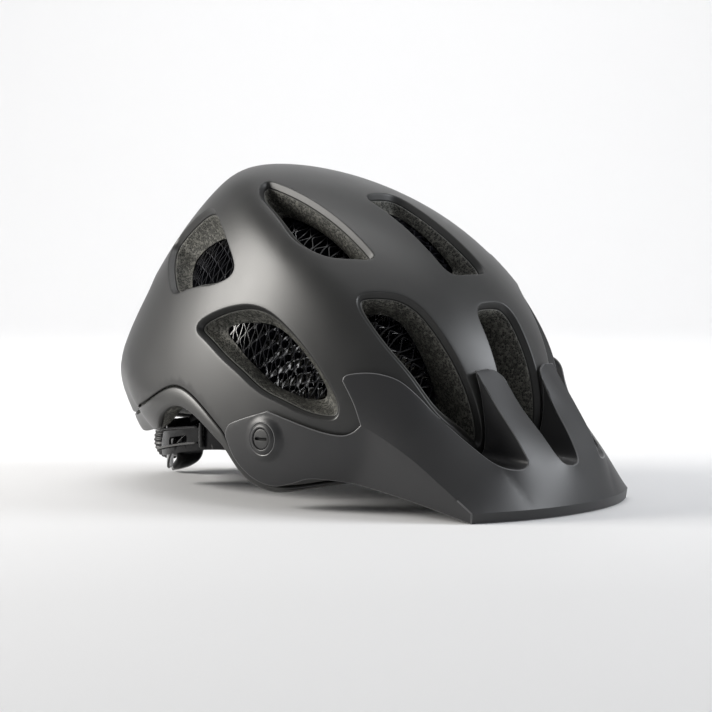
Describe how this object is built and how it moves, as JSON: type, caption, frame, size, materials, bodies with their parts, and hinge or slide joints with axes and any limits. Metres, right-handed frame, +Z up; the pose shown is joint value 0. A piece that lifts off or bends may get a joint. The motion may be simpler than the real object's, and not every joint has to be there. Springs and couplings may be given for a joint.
{
  "type": "cycling helmet",
  "caption": "Trail-riding helmet with a vented two-piece shell, foam and lattice liners, a tilting visor on side screws and a dial-tightened rear cradle.",
  "frame": {"origin": "centre of the resting helmet's footprint box, on the table", "axes": "+Z up from the table, the wearer faces -Y, the wearer's right is -X; the helmet rests nose-down on the visor's lip and the cradle's hook"},
  "size_m": [0.2172, 0.3364, 0.1967],
  "materials": {
    "shell": "satin charcoal, in-moulded polycarbonate",
    "lower_shell": "satin charcoal, in-moulded polycarbonate",
    "foam": "moulded bead foam, dark grey with paler bead edges",
    "cell_liner": "glossy black moulded lattice",
    "pad": "brushed knit over soft foam",
    "visor": "satin charcoal, moulded nylon",
    "visor_screw": "satin moulded nylon",
    "insert": "turned brass",
    "cradle": "polished black nylon",
    "arm": "soft matt black nylon",
    "dial": "fine matt black with ribs",
    "lace": "braided coated lace",
    "pin": "moulded nylon",
    "webbing": "woven polyester webbing",
    "buckle": "fine matt black acetal"
  },
  "bodies": {
    "root": {"outer_shell": "shell", "lower_shell": "lower_shell", "foam_liner": "foam", "cell_liner": "cell_liner", "brow_pad": "pad", "crown_pads": "pad", "side_pads": "pad", "visor_insert_right": "insert", "visor_insert_left": "insert", "height_rail": "pin", "arm_pin_right": "pin", "arm_pin_left": "pin", "strap_anchors": "pin", "strap_right": "webbing", "strap_left": "webbing", "strap_dividers": "buckle", "buckle_body": "buckle", "strap_keeper": "buckle"},
    "visor": {"visor": "visor", "visor_bush_right": "visor_screw", "visor_bush_left": "visor_screw"},
    "visor_screw_right": {"visor_screw_right": "visor_screw"},
    "visor_screw_left": {"visor_screw_left": "visor_screw"},
    "height_slider": {"height_slider": "arm"},
    "arm_right": {"cradle_arm_right": "arm", "lace_right": "lace", "lace_guide_right": "pin"},
    "arm_left": {"cradle_arm_left": "arm", "lace_left": "lace", "lace_guide_left": "pin"},
    "cradle": {"cradle_yoke": "cradle", "dial_housing": "cradle"},
    "dial": {"dial": "dial", "lace_spool": "pin"},
    "buckle_latch": {"buckle_latch": "buckle"}
  },
  "joints": [
    {"name": "visor_tilt", "type": "hinge", "parent": "root", "child": "visor", "pos_m": [0, -0.0215, 0.041], "axis": [-1, 0, 0], "range_deg": [0, 7]},
    {"name": "visor_screw_right_turn", "type": "hinge", "parent": "root", "child": "visor_screw_right", "pos_m": [-0.104, -0.0215, 0.041], "axis": [-1, 0, 0], "continuous": true},
    {"name": "visor_screw_left_turn", "type": "hinge", "parent": "root", "child": "visor_screw_left", "pos_m": [0.104, -0.0215, 0.041], "axis": [1, 0, 0], "continuous": true},
    {"name": "cradle_height", "type": "slide", "parent": "root", "child": "height_slider", "axis": [0, 0, -1], "range_m": [0, 0.008]},
    {"name": "arm_right_swing", "type": "hinge", "parent": "root", "child": "arm_right", "pos_m": [-0.06078, -0.0463, 0.05761], "axis": [-1, 0, 0], "range_deg": [0, 3.75]},
    {"name": "arm_left_swing", "type": "hinge", "parent": "root", "child": "arm_left", "pos_m": [0.06078, -0.0463, 0.05761], "axis": [-1, 0, 0], "range_deg": [0, 3.75]},
    {"name": "cradle_tighten", "type": "slide", "parent": "height_slider", "child": "cradle", "axis": [0, -0.92, -0.392], "range_m": [0, 0.01]},
    {"name": "dial_turn", "type": "hinge", "parent": "cradle", "child": "dial", "pos_m": [0, 0.1495, 0.0215], "axis": [0, 1, 0], "range_deg": [0, 360]},
    {"name": "buckle_release", "type": "slide", "parent": "root", "child": "buckle_latch", "axis": [-1, 0, 0], "range_m": [0, 0.01]}
  ],
  "couplings": [
    {"joint": "arm_right_swing", "follows": "cradle_height", "rad_per_m": 8},
    {"joint": "arm_left_swing", "follows": "cradle_height", "rad_per_m": 8},
    {"joint": "dial_turn", "follows": "cradle_tighten", "rad_per_m": 628}
  ]
}
